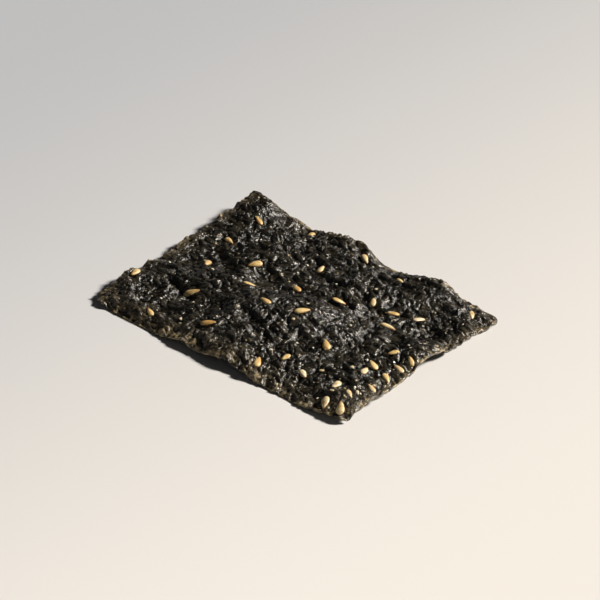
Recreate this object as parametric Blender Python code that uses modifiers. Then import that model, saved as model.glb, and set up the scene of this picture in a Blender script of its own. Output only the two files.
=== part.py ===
"""One crisp of toasted seaweed with sesame seeds pressed into its wrinkled top, lying face up.

Units are metres and +Z is up. The crisp lies on the table at z = 0, and the origin is under the
middle of its bounding box. X runs along the longer side of the sheet and Y along the shorter one.
"""

import math
import random

import bmesh
import bpy
from mathutils import Matrix, Vector, geometry, noise

# The sheet is a sixteenth of a 210 mm by 190 mm sheet of pressed laver.
SHEET_LENGTH = 0.0525
SHEET_WIDTH = 0.0475
SHEET_THICKNESS = 0.0007
CORNER_RADIUS = 0.0020
CELL = 0.00112

# How the toasted sheet is warped out of flat: an arch with swellings, whose front edge is turned
# down along a fold that is shallower on its left, and whose two back corners curl up.
ARCH_RISE = 0.0030
SWELL_DEPTH = 0.0017
SWELL_SIZE = 0.0125
HEM_WIDTH = 0.0062
HEM_DROP = 0.0018
HEM_LEFT_SHARE = 0.5
LEFT_CURL = 0.0036
LEFT_CURL_REACH = 0.0180
RIGHT_CURL = 0.0006
RIGHT_CURL_REACH = 0.0100

# The waves of the left, right, front and back edge: where a crest is, the distance from crest to
# crest, and the rise of a crest.
EDGE_WAVES = (
    (0.0090, 0.0300, 0.0007),
    (0.0024, 0.0260, 0.0006),
    (0.0090, 0.0360, 0.0006),
    (-0.0065, 0.0210, 0.0012),
)
WAVE_REACH = 0.0055

# The wrinkles that are coarse enough for this mesh: short ridges, and creases that run longer.
WRINKLE_DEPTH = 0.0007
WRINKLE_LENGTH = 0.0058
WRINKLE_WIDTH = 0.0036
WRINKLE_SHARPNESS = 11.0
CREASE_DEPTH = 0.0006
CREASE_LENGTH = 0.0260
CREASE_WIDTH = 0.0105
CREASE_SHARPNESS = 45.0
BEND = 0.0016
BEND_LENGTH = 0.0065

# The cut edge wanders in and out of its straight line.
WANDER = 0.00045
WANDER_LENGTH = 0.0070
WANDER_REACH = 0.0050
WANDER_ROW = 3.1

# How far apart the layers of the noise lie.
LAYER_STEP = 7.3

# How far the table flattens the lowest places of the warped sheet.
FOOT_FLAT = 0.00035

SEED_LENGTH = 0.0030
SEED_WIDTH = 0.0016
SEED_THICKNESS = 0.00095
SEED_TAPER = 0.42
SEED_SINK = 0.40
SEED_ROOT = 1.35
SEED_SIZES = (0.74, 1.08)
SEED_SIDES = 6
SEED_RINGS = 4

# The seeds: an even spread, a few close neighbours, and a strip of them by the front right corner.
# Each is (count, gap, share of the length, share of the width), measured from that corner.
SCATTERS = (
    (27, 0.0067, 1.00, 1.00),
    (3, 0.0026, 1.00, 1.00),
    (7, 0.0028, 0.14, 0.50),
)
SEED_MARGIN = 0.0016
SCATTER_START = 14213

SEAWEED_COLOUR = (0.030, 0.029, 0.022, 1.0)
SEAWEED_ROUGHNESS = 0.45
SESAME_COLOUR = (0.560, 0.360, 0.130, 1.0)
SESAME_ROUGHNESS = 0.50

HALF_LENGTH = SHEET_LENGTH / 2
HALF_WIDTH = SHEET_WIDTH / 2


def clear_scene():
    for obj in list(bpy.data.objects):
        bpy.data.objects.remove(obj, do_unlink=True)


def make_material(name, colour, roughness):
    material = bpy.data.materials.new(name)
    material.use_nodes = True
    shader = material.node_tree.nodes["Principled BSDF"]
    shader.inputs["Base Color"].default_value = colour
    shader.inputs["Roughness"].default_value = roughness
    shader.inputs["Metallic"].default_value = 0.0
    return material


def smooth_step(value):
    value = min(1.0, max(0.0, value))
    return value * value * (3.0 - 2.0 * value)


def smooth_noise(x, y, layer):
    """Perlin noise from about -1 to 1, with one layer for each use."""
    return noise.noise(Vector((x, y, LAYER_STEP * layer)))


def ridge(value, sharpness):
    """1 on the lines where smooth noise crosses zero, falling towards 0 beside them."""
    return math.exp(-sharpness * value * value)


def hem_drop(x, y):
    """How far the front edge is turned down."""
    to_right = smooth_step(x / HALF_LENGTH + 0.5)
    share_turned = HEM_LEFT_SHARE + (1 - HEM_LEFT_SHARE) * to_right
    past_fold = max(0.0, HEM_WIDTH - (y + HALF_WIDTH)) / HEM_WIDTH
    return HEM_DROP * share_turned * past_fold * (1 + past_fold) / 2


def corner_curl(x, y):
    left = 1 - math.hypot(x + HALF_LENGTH, y - HALF_WIDTH) / LEFT_CURL_REACH
    right = 1 - math.hypot(x - HALF_LENGTH, y - HALF_WIDTH) / RIGHT_CURL_REACH
    return LEFT_CURL * smooth_step(left) + RIGHT_CURL * smooth_step(right)


def edge_waves(x, y):
    """Waves along the four edges, which fade out inwards."""
    from_edge_and_along = (
        (HALF_LENGTH + x, y),
        (HALF_LENGTH - x, y),
        (HALF_WIDTH + y, x),
        (HALF_WIDTH - y, x),
    )
    total = 0.0
    for (from_edge, along), (crest, length, rise) in zip(from_edge_and_along, EDGE_WAVES):
        fade = math.exp(-((from_edge / WAVE_REACH) ** 2))
        total += rise * fade * math.cos(2 * math.pi * (along - crest) / length)
    return total


def wrinkles(x, y):
    bent_x = x + BEND * smooth_noise(x / BEND_LENGTH, y / BEND_LENGTH, 1)
    bent_y = y + BEND * smooth_noise(x / BEND_LENGTH, y / BEND_LENGTH, 2)
    short = smooth_noise(bent_x / WRINKLE_LENGTH, bent_y / WRINKLE_WIDTH, 3)
    long = smooth_noise(bent_x / CREASE_LENGTH, bent_y / CREASE_WIDTH, 4)
    raised = WRINKLE_DEPTH * (ridge(short, WRINKLE_SHARPNESS) - 0.5)
    return raised - CREASE_DEPTH * ridge(long, CREASE_SHARPNESS)


def warp(x, y):
    """Height of the warped sheet's middle surface over a flat plane, before it is set down."""
    u, v = x / HALF_LENGTH, y / HALF_WIDTH
    arch = ARCH_RISE * (1 - (u * u + v * v) / 2)
    swell = SWELL_DEPTH * smooth_noise(x / SWELL_SIZE, y / SWELL_SIZE, 5)
    edges = edge_waves(x, y) + corner_curl(x, y) - hem_drop(x, y)
    return arch + swell + edges + wrinkles(x, y)


def outline_point(s, t):
    """Where a point of the plain square from -1 to 1 lies in the plane of the sheet."""
    x, y = s * HALF_LENGTH, t * HALF_WIDTH
    in_x = abs(x) - (HALF_LENGTH - CORNER_RADIUS)
    in_y = abs(y) - (HALF_WIDTH - CORNER_RADIUS)
    if in_x > 0 and in_y > 0:
        # The square corner is drawn in to a quarter circle.
        pull = max(in_x, in_y) / math.hypot(in_x, in_y)
        x = math.copysign(HALF_LENGTH - CORNER_RADIUS + in_x * pull, x)
        y = math.copysign(HALF_WIDTH - CORNER_RADIUS + in_y * pull, y)
    wander_x = smooth_noise(y / WANDER_LENGTH, math.copysign(WANDER_ROW, x), 6)
    wander_y = smooth_noise(x / WANDER_LENGTH, math.copysign(WANDER_ROW, y), 7)
    reach_x = smooth_step(1 - (HALF_LENGTH - abs(x)) / WANDER_REACH)
    reach_y = smooth_step(1 - (HALF_WIDTH - abs(y)) / WANDER_REACH)
    return x + WANDER * wander_x * reach_x, y + WANDER * wander_y * reach_y


def warped_skin():
    """The sheet's middle surface as a mesh of triangles, warped but not yet set down."""
    skin = bmesh.new()
    bmesh.ops.create_grid(
        skin,
        x_segments=round(SHEET_LENGTH / CELL),
        y_segments=round(SHEET_WIDTH / CELL),
        size=1.0,
    )
    for vertex in skin.verts:
        vertex.co.xy = outline_point(vertex.co.x, vertex.co.y)
    bmesh.ops.triangulate(skin, faces=skin.faces)
    for vertex in skin.verts:
        vertex.co.z = warp(vertex.co.x, vertex.co.y)
    return skin


def table_plane():
    """(height, slope along X, slope along Y) of the table that the warped sheet comes to rest on.

    The sheet rests on the face of its convex hull that lies straight under its middle.
    """
    skin = warped_skin()
    middle = sum((vertex.co for vertex in skin.verts), Vector()) / len(skin.verts)
    hull = bmesh.ops.convex_hull(skin, input=skin.verts)
    plane = None
    for face in hull["geom"]:
        if isinstance(face, bmesh.types.BMFace) and face.normal.z < 0:
            corners = [vertex.co for vertex in face.verts]
            if geometry.intersect_point_tri_2d(middle.xy, *(corner.xy for corner in corners)):
                slope_x = -face.normal.x / face.normal.z
                slope_y = -face.normal.y / face.normal.z
                foot = corners[0]
                plane = (foot.z - slope_x * foot.x - slope_y * foot.y, slope_x, slope_y)
    skin.free()
    return plane


def skin_point(x, y, plane):
    """The point of the sheet's middle surface at x, y, once the sheet lies on the table."""
    height, slope_x, slope_y = plane
    lowest = SHEET_THICKNESS / 2 - FOOT_FLAT
    return Vector((x, y, warp(x, y) - height - slope_x * x - slope_y * y + lowest))


def mesh_object(name, bm, materials):
    mesh = bpy.data.meshes.new(name)
    bm.to_mesh(mesh)
    bm.free()
    for material in materials:
        mesh.materials.append(material)
    return bpy.data.objects.new(name, mesh)


def apply_modifiers(obj):
    """Replaces the object's mesh by what its modifiers make of it."""
    bpy.context.view_layer.update()
    graph = bpy.context.evaluated_depsgraph_get()
    made = bpy.data.meshes.new_from_object(obj.evaluated_get(graph))
    obj.modifiers.clear()
    obj.data = made


def build_sheet(name, collection, materials, plane):
    """The sheet without its seeds: a warped skin, thickened, and flat where it meets the table."""
    skin = warped_skin()
    for vertex in skin.verts:
        vertex.co = skin_point(vertex.co.x, vertex.co.y, plane)
    sheet = mesh_object(name, skin, materials)
    collection.objects.link(sheet)
    thicken = sheet.modifiers.new("Thickness", "SOLIDIFY")
    thicken.thickness = SHEET_THICKNESS
    thicken.offset = 0.0
    apply_modifiers(sheet)
    for vertex in sheet.data.vertices:
        vertex.co.z = max(0.0, vertex.co.z)
    return sheet


def scatter_seeds():
    """Where each seed lies: a list of (x, y, heading, size)."""
    draw = random.Random(SCATTER_START)
    high_x, low_y = HALF_LENGTH - SEED_MARGIN, SEED_MARGIN - HALF_WIDTH
    seeds = []
    for count, gap, length_share, width_share in SCATTERS:
        low_x = max(-high_x, HALF_LENGTH - length_share * SHEET_LENGTH)
        high_y = min(-low_y, width_share * SHEET_WIDTH - HALF_WIDTH)
        wanted = len(seeds) + count
        while len(seeds) < wanted:
            x, y = draw.uniform(low_x, high_x), draw.uniform(low_y, high_y)
            if all(math.dist((x, y), seed[:2]) > gap for seed in seeds):
                heading = draw.uniform(0, 2 * math.pi)
                seeds.append((x, y, heading, draw.uniform(*SEED_SIZES)))
    return seeds


def seed_placement(x, y, heading, plane):
    """The matrix that lays a seed along the sheet: X from its round end to its tip, Z out of the top."""
    ahead = Vector((math.cos(heading), math.sin(heading))) * SEED_LENGTH / 2
    aside = Vector((-math.sin(heading), math.cos(heading))) * SEED_WIDTH / 2
    tip = skin_point(x + ahead.x, y + ahead.y, plane)
    tail = skin_point(x - ahead.x, y - ahead.y, plane)
    left = skin_point(x + aside.x, y + aside.y, plane)
    right = skin_point(x - aside.x, y - aside.y, plane)
    along = (tip - tail).normalized()
    out = along.cross(left - right).normalized()
    across = out.cross(along)
    # Over a hollow the seed rests on what is round it, and on a rise it rests on the top.
    around = (tip + tail + left + right) / 4
    seat = max(skin_point(x, y, plane), around, key=lambda place: place.z)
    lift = SHEET_THICKNESS / 2 + (0.5 - SEED_SINK) * SEED_THICKNESS
    turn = Matrix((along, across, out)).transposed().to_4x4()
    return Matrix.Translation(seat + lift * out) @ turn


def build_seed(name, placement, size, materials):
    """A sesame seed: a flattened ball, drawn out to a tip at one end, and deeper in its lower half.

    The deeper half fills the wrinkles under the seed, so that no pocket is left between the two.
    """
    bm = bmesh.new()
    bmesh.ops.create_uvsphere(bm, u_segments=SEED_SIDES, v_segments=SEED_RINGS, radius=0.5)
    bmesh.ops.rotate(bm, verts=bm.verts, matrix=Matrix.Rotation(math.radians(90), 3, "Y"))
    for vertex in bm.verts:
        narrow = 1 - SEED_TAPER * smooth_step(vertex.co.x + 0.5)
        vertex.co.y *= narrow
        vertex.co.z *= (1 + narrow) / 2
        if vertex.co.z < 0:
            vertex.co.z *= SEED_ROOT
    lengths = size * Vector((SEED_LENGTH, SEED_WIDTH, SEED_THICKNESS))
    bmesh.ops.scale(bm, verts=bm.verts, vec=lengths)
    bmesh.ops.transform(bm, verts=bm.verts, matrix=placement)
    for face in bm.faces:
        face.material_index = len(materials) - 1
    return mesh_object(name, bm, materials)


def fuse(sheet, seeds):
    """Joins the seeds to the sheet in one Boolean union, and removes the loose ones."""
    loose = bpy.data.collections.new("loose seeds")
    bpy.context.scene.collection.children.link(loose)
    for seed in seeds:
        loose.objects.link(seed)
    union = sheet.modifiers.new("Seeds", "BOOLEAN")
    union.operation = "UNION"
    union.operand_type = "COLLECTION"
    union.collection = loose
    apply_modifiers(sheet)
    for seed in list(loose.objects):
        bpy.data.objects.remove(seed, do_unlink=True)
    bpy.data.collections.remove(loose)


def centre_on_origin(obj):
    """Moves the mesh so that the middle of its box is over the origin and it stands on z = 0."""
    places = [vertex.co for vertex in obj.data.vertices]
    low = Vector([min(place[axis] for place in places) for axis in range(3)])
    high = Vector([max(place[axis] for place in places) for axis in range(3)])
    middle = (low + high) / 2
    obj.data.transform(Matrix.Translation((-middle.x, -middle.y, -low.z)))


def main():
    clear_scene()
    snack = bpy.data.collections.new("seaweed snack")
    bpy.context.scene.collection.children.link(snack)
    materials = [
        make_material("toasted seaweed", SEAWEED_COLOUR, SEAWEED_ROUGHNESS),
        make_material("sesame", SESAME_COLOUR, SESAME_ROUGHNESS),
    ]
    plane = table_plane()
    sheet = build_sheet("seaweed_crisp", snack, materials, plane)
    seeds = [
        build_seed(f"seed_{i}", seed_placement(x, y, heading, plane), size, materials)
        for i, (x, y, heading, size) in enumerate(scatter_seeds())
    ]
    fuse(sheet, seeds)
    centre_on_origin(sheet)
    sheet.data.shade_smooth()


if __name__ == "__main__":
    main()
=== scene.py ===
import math
import random

import bmesh
import bpy
from mathutils import Matrix, Vector, geometry, noise


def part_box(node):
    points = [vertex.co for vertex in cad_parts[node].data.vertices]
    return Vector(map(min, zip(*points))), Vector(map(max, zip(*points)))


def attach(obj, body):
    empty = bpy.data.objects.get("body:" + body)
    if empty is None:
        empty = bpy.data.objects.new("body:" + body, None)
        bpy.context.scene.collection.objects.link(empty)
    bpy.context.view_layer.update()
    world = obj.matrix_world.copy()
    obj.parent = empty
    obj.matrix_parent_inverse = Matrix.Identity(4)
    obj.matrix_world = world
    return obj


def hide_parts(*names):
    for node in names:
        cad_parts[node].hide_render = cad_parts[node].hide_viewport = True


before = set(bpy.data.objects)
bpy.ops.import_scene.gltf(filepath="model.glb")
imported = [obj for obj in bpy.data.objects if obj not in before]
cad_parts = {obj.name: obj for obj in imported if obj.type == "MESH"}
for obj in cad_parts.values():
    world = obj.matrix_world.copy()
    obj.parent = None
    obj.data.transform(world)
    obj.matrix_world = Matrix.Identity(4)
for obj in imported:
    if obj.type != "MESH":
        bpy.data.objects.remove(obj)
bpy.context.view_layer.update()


# small helpers

def smoothStep(value):
    value = min(1.0, max(0.0, value))
    return value * value * (3.0 - 2.0 * value)


layerStep = 7.3    # from one layer of the noise to the next


def smoothNoise(x, y, layer):    # from about -1 to 1, one layer for each use
    return noise.noise(Vector((x, y, layerStep * layer)))


def ridge(value, sharpness):    # 1 on the lines where the noise is 0
    return math.exp(-sharpness * value * value)


def meshObject(name, bm, material):
    mesh = bpy.data.meshes.new(name)
    bm.to_mesh(mesh)
    bm.free()
    mesh.materials.append(material)
    obj = bpy.data.objects.new(name, mesh)
    bpy.context.scene.collection.objects.link(obj)
    return obj


class NodeTree:    # short calls for a material's nodes
    def __init__(self, name):
        self.material = bpy.data.materials.new(name)
        self.material.use_nodes = True
        self.tree = self.material.node_tree
        self.shader = self.tree.nodes["Principled BSDF"]

    def node(self, kind, **values):
        node = self.tree.nodes.new(kind)
        for key, value in values.items():
            setattr(node, key, value)
        return node

    def link(self, output, socket):
        self.tree.links.new(output, socket)

    def set(self, **values):
        for key, value in values.items():
            self.shader.inputs[key.replace("_", " ")].default_value = value

    def place(self):
        return self.node("ShaderNodeTexCoord").outputs["Object"]

    def noise(self, scale, detail, roughness=0.5, distortion=0.0, vector=None):
        node = self.node("ShaderNodeTexNoise")
        node.inputs["Scale"].default_value = scale
        node.inputs["Detail"].default_value = detail
        node.inputs["Roughness"].default_value = roughness
        node.inputs["Distortion"].default_value = distortion
        self.link(vector or self.place(), node.inputs["Vector"])
        return node.outputs["Fac"]

    def ramp(self, value, stops):
        node = self.node("ShaderNodeValToRGB")
        while len(node.color_ramp.elements) < len(stops):
            node.color_ramp.elements.new(0.5)
        for element, (at, colour) in zip(node.color_ramp.elements, stops):
            element.position = at
            element.color = (*colour, 1.0)
        self.link(value, node.inputs["Fac"])
        return node.outputs["Color"]

    def fade(self, value, start, end, low=0.0, high=1.0):    # grey from low at start to high at end
        return self.ramp(value, ((start, (low, low, low)), (end, (high, high, high))))

    def mix(self, share, first, second, blend="MIX"):
        node = self.node("ShaderNodeMix", data_type="RGBA", blend_type=blend)
        for value, name in ((share, "Factor"), (first, "A"), (second, "B")):
            socket = node.inputs[name]
            if isinstance(value, float):
                socket.default_value = value
            elif isinstance(value, tuple):
                socket.default_value = (*value, 1.0)
            else:
                self.link(value, socket)
        return node.outputs["Result"]

    def attribute(self, name):
        return self.node("ShaderNodeAttribute", attribute_name=name).outputs["Fac"]

    def math(self, operation, first, second):
        node = self.node("ShaderNodeMath", operation=operation)
        for value, socket in zip((first, second), node.inputs):
            if isinstance(value, float):
                socket.default_value = value
            else:
                self.link(value, socket)
        return node.outputs["Value"]

    def between(self, value, low, high):    # rises smoothly from 0 at low to 1 at high
        node = self.node("ShaderNodeMapRange", interpolation_type="SMOOTHSTEP")
        node.inputs["From Min"].default_value = low
        node.inputs["From Max"].default_value = high
        self.link(value, node.inputs["Value"])
        return node.outputs["Result"]

    def stretched(self, scales):    # object coordinates, scaled along each axis
        node = self.node("ShaderNodeMapping")
        node.inputs["Scale"].default_value = scales
        self.link(self.place(), node.inputs["Vector"])
        return node.outputs["Vector"]

    def bump(self, height, distance, strength=1.0, under=None):
        node = self.node("ShaderNodeBump")
        node.inputs["Distance"].default_value = distance
        node.inputs["Strength"].default_value = strength
        self.link(height, node.inputs["Height"])
        if under is not None:
            self.link(under, node.inputs["Normal"])
        return node.outputs["Normal"]


# the sheet of seaweed

sheet = {
    "length": 0.0525,    # along X
    "width": 0.0475,    # along Y
    "thickness": 0.00050,
    "edgeThinning": 0.35,    # share of the thickness that the cut edge loses
    "thinningReach": 0.0010,    # how far in it is thinner
    "cornerRadius": 0.0020,
    "cells": (144, 130),    # of the underside; the top has twice as many each way
    "thinnest": 0.00025,    # the least thickness anywhere
    "browned": 0.0035,    # how far in from the cut edge the toasting shows
    "hemShare": 0.55,    # the way from the front edge counts less, so it shows further in there
    "archRise": 0.0030,
    "swell": (0.0017, 0.0125),    # depth and size
    "hemWidth": 0.0062,    # the front edge is turned down along a fold
    "hemDrop": 0.0018,
    "hemLeftShare": 0.5,    # of that drop, at the left end
    "leftCurl": (0.0036, 0.0180),    # rise and reach of the back left corner
    "rightCurl": (0.0006, 0.0100),    # and of the back right one
    "edgeWaves": (    # left, right, front, back: where a crest is, crest to crest, rise
        (0.0090, 0.0300, 0.0007),
        (0.0024, 0.0260, 0.0006),
        (0.0090, 0.0360, 0.0006),
        (-0.0065, 0.0210, 0.0012),
    ),
    "waveReach": 0.0055,    # how far in they fade
    "wrinkleDepth": 0.0007,
    "wrinkleSize": (0.0058, 0.0036),    # along X and along Y, as in each pair of sizes
    "wrinkleSharpness": 11.0,
    "creaseDepth": 0.0006,
    "creaseSize": (0.0260, 0.0105),
    "creaseSharpness": 45.0,
    "bend": 0.0016,    # how far wrinkles and creases stray sideways
    "bendLength": 0.0065,
    "wander": 0.00045,    # of the cut edge
    "wanderLength": 0.0070,
    "wanderReach": 0.0050,    # how far in the sheet follows it
    "wanderRow": 3.1,    # where the noise is read for one edge, and at the negative for the other
    "footFlat": 0.00035,    # how much its feet are pressed flat on the table
    "frameThickness": 0.00070,    # of the frame's solid
    "frameCell": 0.00112,    # of the mesh that finds the table's plane
}

# the relief that is too fine for the frame's solid

crinkle = {
    "foldHeight": 0.00036,
    "foldSize": (0.0030, 0.0017),
    "foldSharpness": 5.0,
    "crossShare": 0.75,    # height of the folds that run the other way
    "grooveDepth": 0.00040,
    "grooveSize": (0.0022, 0.0013),
    "grooveSharpness": 7.0,
    "bend": 0.0011,    # how far folds and grooves stray sideways
    "bendLength": 0.0025,
    "calmShare": 0.72,    # of the folds' height, in the calm patches
    "calmSize": 0.0100,
    "spotSize": 0.0130,    # of the few spots that are crumpled most
    "spotShare": 0.2,    # more of it makes more and wider spots
    "spotContrast": 1.6,    # more of it makes their border sharper
    "spotGrooves": (0.85, 1.50),    # depth of the grooves outside the spots and in them
    "spotFolds": (1.00, 1.30),    # the same for the folds
    "pebble": 0.00010,
    "pebbleSize": 0.00072,
    "underShare": 0.5,    # how much of it shows on the underside
}

halfLength = sheet["length"] / 2
halfWidth = sheet["width"] / 2


def hemDrop(x, y):
    toRightEnd = smoothStep(x / halfLength + 0.5)
    share = sheet["hemLeftShare"] + (1 - sheet["hemLeftShare"]) * toRightEnd
    pastFold = max(0.0, sheet["hemWidth"] - (y + halfWidth)) / sheet["hemWidth"]
    return sheet["hemDrop"] * share * pastFold * (1 + pastFold) / 2


def cornerCurl(x, y):
    (leftRise, leftReach), (rightRise, rightReach) = sheet["leftCurl"], sheet["rightCurl"]
    left = 1 - math.hypot(x + halfLength, y - halfWidth) / leftReach
    right = 1 - math.hypot(x - halfLength, y - halfWidth) / rightReach
    return leftRise * smoothStep(left) + rightRise * smoothStep(right)


def edgeWaves(x, y):
    sides = ((halfLength + x, y), (halfLength - x, y), (halfWidth + y, x), (halfWidth - y, x))
    total = 0.0
    for (fromEdge, along), (crest, length, rise) in zip(sides, sheet["edgeWaves"]):
        fade = math.exp(-((fromEdge / sheet["waveReach"]) ** 2))
        total += rise * fade * math.cos(2 * math.pi * (along - crest) / length)
    return total


def wrinkles(x, y):
    bentX = x + sheet["bend"] * smoothNoise(x / sheet["bendLength"], y / sheet["bendLength"], 1)
    bentY = y + sheet["bend"] * smoothNoise(x / sheet["bendLength"], y / sheet["bendLength"], 2)
    (shortX, shortY), (longX, longY) = sheet["wrinkleSize"], sheet["creaseSize"]
    short = ridge(smoothNoise(bentX / shortX, bentY / shortY, 3), sheet["wrinkleSharpness"])
    long = ridge(smoothNoise(bentX / longX, bentY / longY, 4), sheet["creaseSharpness"])
    return sheet["wrinkleDepth"] * (short - 0.5) - sheet["creaseDepth"] * long


def warp(x, y):    # the form that the frame's solid has too
    u, v = x / halfLength, y / halfWidth
    arch = sheet["archRise"] * (1 - (u * u + v * v) / 2)
    depth, size = sheet["swell"]
    swell = depth * smoothNoise(x / size, y / size, 5)
    return arch + swell + edgeWaves(x, y) + cornerCurl(x, y) - hemDrop(x, y) + wrinkles(x, y)


def crossing(x, y, size, sharpness, layer):    # two sets of lines, the second turned the other way
    along, across = size
    first = math.exp(-sharpness * abs(smoothNoise(x / along, y / across, layer)))
    second = math.exp(-sharpness * abs(smoothNoise(x / across, y / along, layer + 1)))
    return first, second    # each is 1 on its lines


def crumpled(x, y):    # 1 in a crumpled spot, 0 far from one
    size = crinkle["spotSize"]
    above = crinkle["spotContrast"] * smoothNoise(x / size, y / size, 20)
    return smoothStep(crinkle["spotShare"] + above)


def fineRelief(x, y):
    size = crinkle["bendLength"]
    bentX = x + crinkle["bend"] * smoothNoise(x / size, y / size, 11)
    bentY = y + crinkle["bend"] * smoothNoise(x / size, y / size, 12)
    folded, crossed = crossing(bentX, bentY, crinkle["foldSize"], crinkle["foldSharpness"], 13)
    grooves = crossing(bentX, bentY, crinkle["grooveSize"], crinkle["grooveSharpness"], 17)
    rough = smoothStep(0.5 + smoothNoise(x / crinkle["calmSize"], y / crinkle["calmSize"], 16))
    height = crinkle["foldHeight"] * (crinkle["calmShare"] + (1 - crinkle["calmShare"]) * rough)
    ridges = max(folded, crinkle["crossShare"] * crossed)
    pebble = smoothNoise(x / crinkle["pebbleSize"], y / crinkle["pebbleSize"], 15)
    spot = crumpled(x, y)
    (shallow, deep), (low, high) = crinkle["spotGrooves"], crinkle["spotFolds"]
    folds = height * (low + (high - low) * spot) * (ridges - 0.5)
    grooved = crinkle["grooveDepth"] * (shallow + (deep - shallow) * spot) * (0.5 - max(grooves))
    return folds + grooved + crinkle["pebble"] * pebble


def outlinePoint(s, t):    # both run from -1 to 1 over the sheet
    x, y = s * halfLength, t * halfWidth
    radius = sheet["cornerRadius"]
    inX, inY = abs(x) - (halfLength - radius), abs(y) - (halfWidth - radius)
    if inX > 0 and inY > 0:
        pull = max(inX, inY) / math.hypot(inX, inY)
        x = math.copysign(halfLength - radius + inX * pull, x)
        y = math.copysign(halfWidth - radius + inY * pull, y)
    wanderX = smoothNoise(y / sheet["wanderLength"], math.copysign(sheet["wanderRow"], x), 6)
    wanderY = smoothNoise(x / sheet["wanderLength"], math.copysign(sheet["wanderRow"], y), 7)
    reachX = smoothStep(1 - (halfLength - abs(x)) / sheet["wanderReach"])
    reachY = smoothStep(1 - (halfWidth - abs(y)) / sheet["wanderReach"])
    return x + sheet["wander"] * wanderX * reachX, y + sheet["wander"] * wanderY * reachY


def warpedSkin(cellsX, cellsY):
    skin = bmesh.new()
    bmesh.ops.create_grid(skin, x_segments=cellsX, y_segments=cellsY, size=1.0)
    for vert in skin.verts:
        vert.co.xy = outlinePoint(vert.co.x, vert.co.y)
    bmesh.ops.triangulate(skin, faces=skin.faces)
    for vert in skin.verts:
        vert.co.z = warp(vert.co.x, vert.co.y)
    return skin


def tablePlane():    # the face of its hull that the sheet comes to rest on
    cell = sheet["frameCell"]
    skin = warpedSkin(round(sheet["length"] / cell), round(sheet["width"] / cell))
    middle = sum((vert.co for vert in skin.verts), Vector()) / len(skin.verts)
    hull = bmesh.ops.convex_hull(skin, input=skin.verts)
    plane = None
    for face in hull["geom"]:
        if isinstance(face, bmesh.types.BMFace) and face.normal.z < 0:
            corners = [vert.co for vert in face.verts]
            if geometry.intersect_point_tri_2d(middle.xy, *(corner.xy for corner in corners)):
                slopeX = -face.normal.x / face.normal.z
                slopeY = -face.normal.y / face.normal.z
                foot = corners[0]
                plane = (foot.z - slopeX * foot.x - slopeY * foot.y, slopeX, slopeY)
    skin.free()
    return plane


plane = tablePlane()


def skinHeight(x, y):    # of the middle of the frame's solid, over the table
    height, slopeX, slopeY = plane
    overPlane = warp(x, y) - height - slopeX * x - slopeY * y
    return overPlane + sheet["frameThickness"] / 2 - sheet["footFlat"]


print("the sheet rests on the plane", [round(value, 5) for value in plane])


def sheetHeight(x, y):    # of the middle of the thinner sheet that is seen, with the same underside
    return skinHeight(x, y) - (sheet["frameThickness"] - sheet["thickness"]) / 2


def addSkin(bm, cellsX, cellsY, isTop):
    edge, relief = bm.verts.layers.float["edge"], bm.verts.layers.float["relief"]
    spot = bm.verts.layers.float["spot"]
    made = bmesh.ops.create_grid(bm, x_segments=cellsX, y_segments=cellsY, size=1.0)["verts"]
    for vert in made:
        s, t = vert.co.xy
        x, y = outlinePoint(s, t)
        fromFront, fromBack = (1 + t) * halfWidth, (1 - t) * halfWidth
        fromEdge = min((1 - abs(s)) * halfLength, fromBack, fromFront)
        thinning = sheet["edgeThinning"] * max(0.0, 1 - fromEdge / sheet["thinningReach"])
        thick = sheet["thickness"] * (1 - thinning)
        fine, height = fineRelief(x, y), sheetHeight(x, y)
        low = max(0.0, height - sheet["thickness"] / 2 + crinkle["underShare"] * fine)
        vert.co = (x, y, low)
        if isTop:
            vert.co.z = max(low + sheet["thinnest"], height - sheet["thickness"] / 2 + thick + fine)
        vert[edge] = 1 - min(fromEdge, fromFront * sheet["hemShare"]) / sheet["browned"]
        vert[relief] = 0.5 + fine / (crinkle["foldHeight"] + crinkle["grooveDepth"])
        vert[spot] = crumpled(x, y)


def buildSheet(material):
    bm = bmesh.new()
    bm.verts.layers.float.new("edge")    # 1 at the cut edge, 0 or less past the browned border
    bm.verts.layers.float.new("relief")    # about 0 in a hollow and about 1 on a ridge; the seaweed finish uses it to paint shade into the hollows and light onto the ridges
    bm.verts.layers.float.new("spot")    # 1 where the sheet is crumpled most
    cellsX, cellsY = sheet["cells"]
    addSkin(bm, 2 * cellsX, 2 * cellsY, True)
    addSkin(bm, cellsX, cellsY, False)
    bmesh.ops.bridge_loops(bm, edges=[edge for edge in bm.edges if edge.is_boundary])
    bmesh.ops.recalc_face_normals(bm, faces=bm.faces)
    obj = meshObject("seaweed-sheet", bm, material)
    obj.data.shade_smooth()
    return obj


# sesame seeds

sesame = {
    "length": 0.0030,
    "width": 0.00178,
    "thickness": 0.00095,
    "taper": 0.50,    # share of the width that is lost at the tip
    "sink": 0.54,    # share of its thickness in the sheet, before the lift out of the fine relief
    "bellyShare": 0.7,    # depth of its lower half, as a share of the upper one's
    "sizes": (0.68, 1.00),
    "sides": (20, 12),    # round it and along it
    "scatters": (    # count, gap, shares of the length and of the width from the front right corner
        (27, 0.0067, 1.00, 1.00),
        (3, 0.0026, 1.00, 1.00),
        (7, 0.0028, 0.14, 0.50),
    ),
    "margin": 0.0016,
    "paleSpot": (1.0, -0.6),    # in half lengths and half widths; the seeds near it are paler, partly paler seeds and partly painted light of this brightly lit corner
    "paleReach": (0.0040, 0.0140),    # how near is near, and how far is away
    "paleness": (0.34, 0.76, 0.20),    # away from that spot, near it, and the spread
    "start": 14213,    # of the draw of places and sizes
    "toneStart": 71,
}


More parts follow.
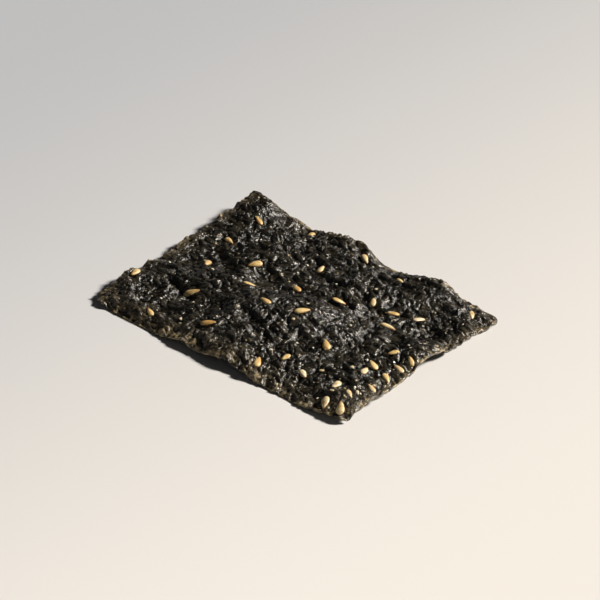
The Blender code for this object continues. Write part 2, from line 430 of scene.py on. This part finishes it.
def scatterSeeds():
    draw = random.Random(sesame["start"])
    highX, lowY = halfLength - sesame["margin"], sesame["margin"] - halfWidth
    seeds = []
    for count, gap, lengthShare, widthShare in sesame["scatters"]:
        lowX = max(-highX, halfLength - lengthShare * sheet["length"])
        highY = min(-lowY, widthShare * sheet["width"] - halfWidth)
        wanted = len(seeds) + count
        while len(seeds) < wanted:
            x, y = draw.uniform(lowX, highX), draw.uniform(lowY, highY)
            if all(math.dist((x, y), seed[:2]) > gap for seed in seeds):
                heading = draw.uniform(0, 2 * math.pi)
                seeds.append((x, y, heading, draw.uniform(*sesame["sizes"])))
    return seeds


def seedPlacement(x, y, heading):    # lays a seed along the sheet, with X towards its tip
    ahead, aside = sesame["length"] / 2, sesame["width"] / 2
    aheadX, aheadY = math.cos(heading) * ahead, math.sin(heading) * ahead
    asideX, asideY = -math.sin(heading) * aside, math.cos(heading) * aside

    def point(dx, dy):
        return Vector((x + dx, y + dy, sheetHeight(x + dx, y + dy)))

    tip, tail = point(aheadX, aheadY), point(-aheadX, -aheadY)
    left, right = point(asideX, asideY), point(-asideX, -asideY)
    along = (tip - tail).normalized()
    out = along.cross(left - right).normalized()
    across = out.cross(along)
    seat = max(point(0, 0), (tip + tail + left + right) / 4, key=lambda place: place.z)
    lift = sheet["thickness"] / 2 + (0.5 - sesame["sink"]) * sesame["thickness"]
    lift += (sheet["frameThickness"] - sheet["thickness"]) / 2    # out of the fine relief
    turn = Matrix((along, across, out)).transposed().to_4x4()
    return Matrix.Translation(seat + lift * out) @ turn


def buildSeeds(material):
    draw = random.Random(sesame["toneStart"])
    bm = bmesh.new()
    tone = bm.verts.layers.float.new("tone")    # 0 toasted, 1 pale
    tip = bm.verts.layers.float.new("tip")    # 0 at the round end, 1 at the tip
    sides, rings = sesame["sides"]
    spotX, spotY = sesame["paleSpot"]
    near, far = sesame["paleReach"]
    usual, pale, spread = sesame["paleness"]
    for x, y, heading, size in scatterSeeds():
        ball = bmesh.ops.create_uvsphere(bm, u_segments=sides, v_segments=rings, radius=0.5)
        made = ball["verts"]
        bmesh.ops.rotate(bm, verts=made, matrix=Matrix.Rotation(math.radians(90), 3, "Y"))
        # paler near the front right corner: partly painted light of that lit corner
        fromSpot = math.hypot(x - spotX * halfLength, y - spotY * halfWidth)
        average = usual + (pale - usual) * smoothStep((far - fromSpot) / (far - near))
        paleness = min(1.0, max(0.0, draw.gauss(average, spread)))
        for vert in made:
            along = vert.co.x + 0.5
            narrow = 1 - sesame["taper"] * smoothStep(along)
            vert.co.y *= narrow
            vert.co.z *= (1 + narrow) / 2
            if vert.co.z < 0:
                vert.co.z *= sesame["bellyShare"]
            vert[tone] = paleness
            vert[tip] = along
        lengths = size * Vector((sesame["length"], sesame["width"], sesame["thickness"]))
        bmesh.ops.scale(bm, verts=made, vec=lengths)
        bmesh.ops.transform(bm, verts=made, matrix=seedPlacement(x, y, heading))
    obj = meshObject("sesame-seeds", bm, material)
    obj.data.shade_smooth()
    return obj


# crumbs of seed and grains of salt, whose pale specks also stand in for small glints as painted
# highlights, most of all near the front right corner

crumb = {
    "scatters": (    # count, shares of the length and of the width from the front right corner
        (90, 1.00, 1.00),
        (45, 0.34, 0.30),
        (22, 0.12, 0.70),
    ),
    "margin": 0.0010,
    "sizes": (0.00024, 0.00075),
    "rise": 0.35,    # share of its height that stands out of the sheet
    "lumps": (0.25, 3.0),    # depth of its lumps and about how many there are across it
    "lumpSpread": 1000.0,    # how far apart in the noise two crumbs are, so that they differ
    "stretch": ((0.8, 1.6), (0.7, 1.1), (0.5, 0.9)),    # along, across and up
    "paleness": (0.2, 1.0),
    "start": 5,
}


def buildCrumbs(material):
    draw = random.Random(crumb["start"])
    bm = bmesh.new()
    tone = bm.verts.layers.float.new("tone")
    margin = crumb["margin"]
    small, large = crumb["sizes"]
    depth, across = crumb["lumps"]
    for count, lengthShare, widthShare in crumb["scatters"]:
        for _ in range(count):
            x = halfLength - margin - draw.random() * (lengthShare * sheet["length"] - 2 * margin)
            y = margin - halfWidth + draw.random() * (widthShare * sheet["width"] - 2 * margin)
            size = small + (large - small) * draw.random() ** 2
            made = bmesh.ops.create_icosphere(bm, subdivisions=1, radius=size / 2)["verts"]
            paleness = draw.uniform(*crumb["paleness"])
            apart = crumb["lumpSpread"] * Vector((x, y, 0))
            for vert in made:
                vert.co *= 1 + depth * noise.noise(across * vert.co / size + apart)
                vert[tone] = paleness
            stretch = Vector([draw.uniform(*limits) for limits in crumb["stretch"]])
            bmesh.ops.scale(bm, verts=made, vec=stretch)
            heading = draw.uniform(0, 2 * math.pi)
            bmesh.ops.rotate(bm, verts=made, matrix=Matrix.Rotation(heading, 3, "Z"))
            top = sheetHeight(x, y) + fineRelief(x, y) + sheet["thickness"] / 2
            height = top + (crumb["rise"] - 0.5) * size * stretch.z
            bmesh.ops.translate(bm, verts=made, vec=(x, y, height))
    return meshObject("seed-crumbs", bm, material)


# finishes: a name that ends in At holds the values where a colour starts and where it is full,
# and then the least and the most of it
# a noise is given as its scale, detail, roughness and distortion

seaweedFinish = {
    "black": (0.0014, 0.0012, 0.0009),
    "olive": (0.0040, 0.0036, 0.0026),
    "oliveAt": (0.38, 0.62),
    # painted light and shade: the raised ridges are painted browner while the hollows keep the near
    # black, with a random fibre tone mixed in
    "brown": (0.0270, 0.0236, 0.0170),
    "brownAt": (0.76, 1.00),
    "border": (0.0740, 0.0610, 0.0410),
    "borderAt": (0.10, 0.65),
    "rim": (0.3800, 0.2980, 0.1720),
    "rimAt": (0.60, 0.86),
    "fleck": (0.1800, 0.1450, 0.0950),
    "fleckAt": (0.71, 0.74),
    "patches": (190.0, 3.0, 0.6, 0.4),
    "fibres": (1400.0, 4.0, 0.65, 0.6),
    "blotches": (1500.0, 4.0, 0.7),    # where the edge is more toasted and where less
    "blotchesAt": (0.36, 0.58, 0.5),
    "streaks": (1.0, 3.0, 0.6, 0.3),
    "streakScales": (420.0, 2800.0, 1500.0),    # they run along X
    "streaksAt": (0.40, 0.58, 0.10, 0.72),
    "gaps": (620.0, 3.0, 0.65),    # in the pale rim
    "gapsAt": (0.45, 0.59, 0.0, 0.9),
    "flecks": (1500.0, 1.0, 0.5),
    "pores": (4200.0, 3.0, 0.6),
    "fibreShare": 0.6,    # how much a fibre counts as raised, beside the folds
    "roughness": (0.55, 1.00, 0.30, 0.14),    # in the form of an At: the ridges are glossier
    "oilAt": (0.10, 0.80, 1.00, 0.50),    # oil gathers in the crumpled spots and halves it there
    "fibreBump": 0.00022,
    "poreBump": (0.00007, 0.9),    # height and strength
    "gloss": 0.60,
    "ior": 1.42,
}


def seaweedMaterial():
    kit = NodeTree("toasted seaweed")
    look = seaweedFinish
    fibres = kit.noise(*look["fibres"])
    fibreRise = kit.math("MULTIPLY", fibres, look["fibreShare"])
    raised = kit.math("ADD", kit.attribute("relief"), fibreRise)
    start, full = look["oliveAt"]
    base = kit.ramp(kit.noise(*look["patches"]), ((start, look["black"]), (full, look["olive"])))
    # painted shade in the hollows and painted light on the ridges: browner where the relief is
    # raised
    base = kit.mix(kit.fade(raised, *look["brownAt"]), base, look["brown"])
    blotches = kit.fade(kit.noise(*look["blotches"]), *look["blotchesAt"])
    worn = kit.math("MULTIPLY", kit.attribute("edge"), blotches)
    streaks = kit.noise(*look["streaks"], kit.stretched(look["streakScales"]))
    streaked = kit.fade(streaks, *look["streaksAt"])
    border = kit.math("MULTIPLY", kit.fade(worn, *look["borderAt"]), streaked)
    base = kit.mix(border, base, look["border"])
    unbroken = kit.fade(kit.noise(*look["gaps"]), *look["gapsAt"])
    rim = kit.math("MULTIPLY", kit.fade(worn, *look["rimAt"]), unbroken)
    base = kit.mix(rim, base, look["rim"])
    base = kit.mix(kit.fade(kit.noise(*look["flecks"]), *look["fleckAt"]), base, look["fleck"])
    kit.link(base, kit.shader.inputs["Base Color"])
    oiled = kit.fade(kit.attribute("spot"), *look["oilAt"])
    dull = kit.math("MULTIPLY", kit.fade(raised, *look["roughness"]), oiled)
    kit.link(dull, kit.shader.inputs["Roughness"])
    fine = kit.bump(kit.noise(*look["pores"]), *look["poreBump"])
    kit.link(kit.bump(fibres, look["fibreBump"], under=fine), kit.shader.inputs["Normal"])
    kit.set(IOR=look["ior"], Specular_IOR_Level=look["gloss"])
    return kit.material


sesameFinish = {
    "tones": (    # from toasted to pale
        (0.00, (0.52, 0.33, 0.11)),
        (0.42, (0.70, 0.53, 0.24)),
        (1.00, (0.80, 0.72, 0.52)),
    ),
    "tip": (0.36, 0.20, 0.07),
    "tipAt": (0.80, 0.98),
    "blotches": (1100.0, 3.0, 0.65),
    "stain": (0.66, 0.52, 0.36),    # the tone is multiplied by this in a blotch
    "stainAt": (0.36, 0.56),    # here where a blotch is full and where it ends
    "grain": (4200.0, 2.0),
    "grainBump": (0.00004, 0.5),
    "roughness": 0.40,
    "ior": 1.47,
    "coat": (0.12, 0.24),    # weight and roughness
    "softness": (0.12, 0.0006),    # share of the light that passes through, and how far
}


def sesameMaterial():
    kit = NodeTree("sesame")
    look = sesameFinish
    full, end = look["stainAt"]
    stain = kit.ramp(kit.noise(*look["blotches"]), ((full, look["stain"]), (end, (1.0, 1.0, 1.0))))
    base = kit.mix(1.0, kit.ramp(kit.attribute("tone"), look["tones"]), stain, "MULTIPLY")
    base = kit.mix(kit.fade(kit.attribute("tip"), *look["tipAt"]), base, look["tip"])
    kit.link(base, kit.shader.inputs["Base Color"])
    kit.link(kit.bump(kit.noise(*look["grain"]), *look["grainBump"]), kit.shader.inputs["Normal"])
    coat, coatRoughness = look["coat"]
    passed, depth = look["softness"]
    kit.set(Roughness=look["roughness"], IOR=look["ior"])
    kit.set(Coat_Weight=coat, Coat_Roughness=coatRoughness)
    kit.set(Subsurface_Weight=passed, Subsurface_Scale=depth)
    return kit.material


crumbFinish = {
    # the pale tones partly stand in for painted glints
    "tones": (
        (0.0, (0.45, 0.33, 0.15)),
        (0.6, (0.62, 0.52, 0.33)),
        (1.0, (0.70, 0.66, 0.58)),
    ),
    "roughness": 0.35,
}


def crumbMaterial():
    kit = NodeTree("seed crumb")
    tones = kit.ramp(kit.attribute("tone"), crumbFinish["tones"])
    kit.link(tones, kit.shader.inputs["Base Color"])
    kit.set(Roughness=crumbFinish["roughness"])
    return kit.material


pieces = [buildSheet(seaweedMaterial()), buildSeeds(sesameMaterial()), buildCrumbs(crumbMaterial())]
print("pieces:", [(piece.name, len(piece.data.polygons)) for piece in pieces])

low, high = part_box("seaweed_crisp")
places = [vert.co for vert in pieces[0].data.vertices]
middleX = (min(place.x for place in places) + max(place.x for place in places)) / 2
middleY = (min(place.y for place in places) + max(place.y for place in places)) / 2
shift = Matrix.Translation(((low.x + high.x) / 2 - middleX, (low.y + high.y) / 2 - middleY, 0))
for piece in pieces:
    piece.data.transform(shift)
    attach(piece, "root")
    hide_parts("seaweed_crisp")
print("shifted by", [round(1000 * value, 3) for value in shift.translation])


# floor, lights and camera

view = {
    "azimuth": 31.2,    # in degrees, as the next two
    "elevation": 31.4,
    "roll": 8.3,
    "distance": 0.745,
    "lens": 262.0,
    "clip": (0.01, 20.0),
    "middle": (0.0, 0.0, 0.0025),    # the point that it looks at
}

studio = {
    "flat": 1.6,    # radius of the level floor
    "sweep": 6.0,    # radius of the curve that it rises along
    "rise": 28.0,    # degrees of that curve
    "steps": (16, 96),    # of the curve, and round the floor
    "seam": 0.000001,    # points nearer than this are merged
    "grey": (0.430, 0.455, 0.500),    # of the floor at the far left, darker as painted shade
    "cream": (0.755, 0.745, 0.730),    # and at the near right, warmer and lighter as painted light of the warm key
    "paintedLightHeading": -35.0,    # degrees from the camera's right: the way from grey to cream, along which the painted light grows
    "turn": (-0.105, 0.075),    # the places along it where the cream starts and where it is full
    "roughness": 0.38,
    "ior": 1.4,
    "world": ((0.80, 0.80, 0.80), 0.014),    # colour and strength
    "key": {    # its place is right, back and up from the crisp, its width in degrees
        "place": (1.77, 0.62, 1.36),
        "width": 10.0,
        "power": 6.8,
        "colour": (1.00, 0.93, 0.84),
    },
    "fill": {
        "place": (-1.60, -0.60, 1.40),
        "width": 60.0,
        "power": 0.045,
        "colour": (0.94, 0.97, 1.00),
    },
}

azimuth, elevation = math.radians(view["azimuth"]), math.radians(view["elevation"])
toRight = Vector((math.cos(azimuth), math.sin(azimuth), 0))
toBack = Vector((-math.sin(azimuth), math.cos(azimuth), 0))
middle = Vector(view["middle"])


def addLight(name, place, width, power, colour):
    light = bpy.data.lights.new(name, "SUN")
    light.angle = math.radians(width)
    light.energy = power
    light.color = colour
    lamp = bpy.data.objects.new(name, light)
    right, back, up = place
    lamp.location = middle + right * toRight + back * toBack + Vector((0, 0, up))
    lamp.rotation_euler = (middle - lamp.location).to_track_quat("-Z", "Y").to_euler()
    bpy.context.scene.collection.objects.link(lamp)


def floorMaterial():
    kit = NodeTree("studio floor")
    turned = kit.node("ShaderNodeMapping")
    turned.inputs["Rotation"].default_value = (0, 0, -azimuth - math.radians(studio["paintedLightHeading"]))
    kit.link(kit.place(), turned.inputs["Vector"])
    place = kit.node("ShaderNodeSeparateXYZ")
    kit.link(turned.outputs["Vector"], place.inputs["Vector"])
    # painted light on the floor: from a grey shade at the far left to a lit cream at the near right
    near = kit.between(place.outputs["X"], *studio["turn"])
    kit.link(kit.mix(near, studio["grey"], studio["cream"]), kit.shader.inputs["Base Color"])
    kit.set(Roughness=studio["roughness"], IOR=studio["ior"])
    return kit.material


def buildFloor():
    bm = bmesh.new()
    flat, sweep = studio["flat"], studio["sweep"]
    rises, around = studio["steps"]
    profile = [(0.0, 0.0), (flat, 0.0)]
    for i in range(1, rises + 1):
        turn = math.radians(studio["rise"] * i / rises)
        profile.append((flat + sweep * math.sin(turn), sweep * (1 - math.cos(turn))))
    verts = [bm.verts.new((radius, 0, height)) for radius, height in profile]
    edges = [bm.edges.new(pair) for pair in zip(verts, verts[1:])]
    bmesh.ops.spin(
        bm, geom=verts + edges, axis=(0, 0, 1), cent=(0, 0, 0),
        steps=around, angle=2 * math.pi, use_merge=True,
    )
    bmesh.ops.remove_doubles(bm, verts=bm.verts, dist=studio["seam"])
    floor = meshObject("studio-floor", bm, floorMaterial())
    floor.data.shade_smooth()


buildFloor()
for name in ("key", "fill"):
    addLight(name, **studio[name])

world = bpy.data.worlds.new("studio")
world.use_nodes = True
colour, strength = studio["world"]
world.node_tree.nodes["Background"].inputs["Color"].default_value = (*colour, 1.0)
world.node_tree.nodes["Background"].inputs["Strength"].default_value = strength
bpy.context.scene.world = world
bpy.context.scene.view_settings.view_transform = "Standard"

away = math.cos(elevation) * -toBack + Vector((0, 0, math.sin(elevation)))
cameraData = bpy.data.cameras.new("camera")
cameraData.lens = view["lens"]
cameraData.clip_start, cameraData.clip_end = view["clip"]
camera = bpy.data.objects.new("camera", cameraData)
turn = (-away).to_track_quat("-Z", "Y").to_matrix().to_4x4()
roll = Matrix.Rotation(math.radians(view["roll"]), 4, "Z")
camera.matrix_world = Matrix.Translation(middle + view["distance"] * away) @ turn @ roll
bpy.context.scene.collection.objects.link(camera)
bpy.context.scene.camera = camera
print("stage, lights and camera are set")
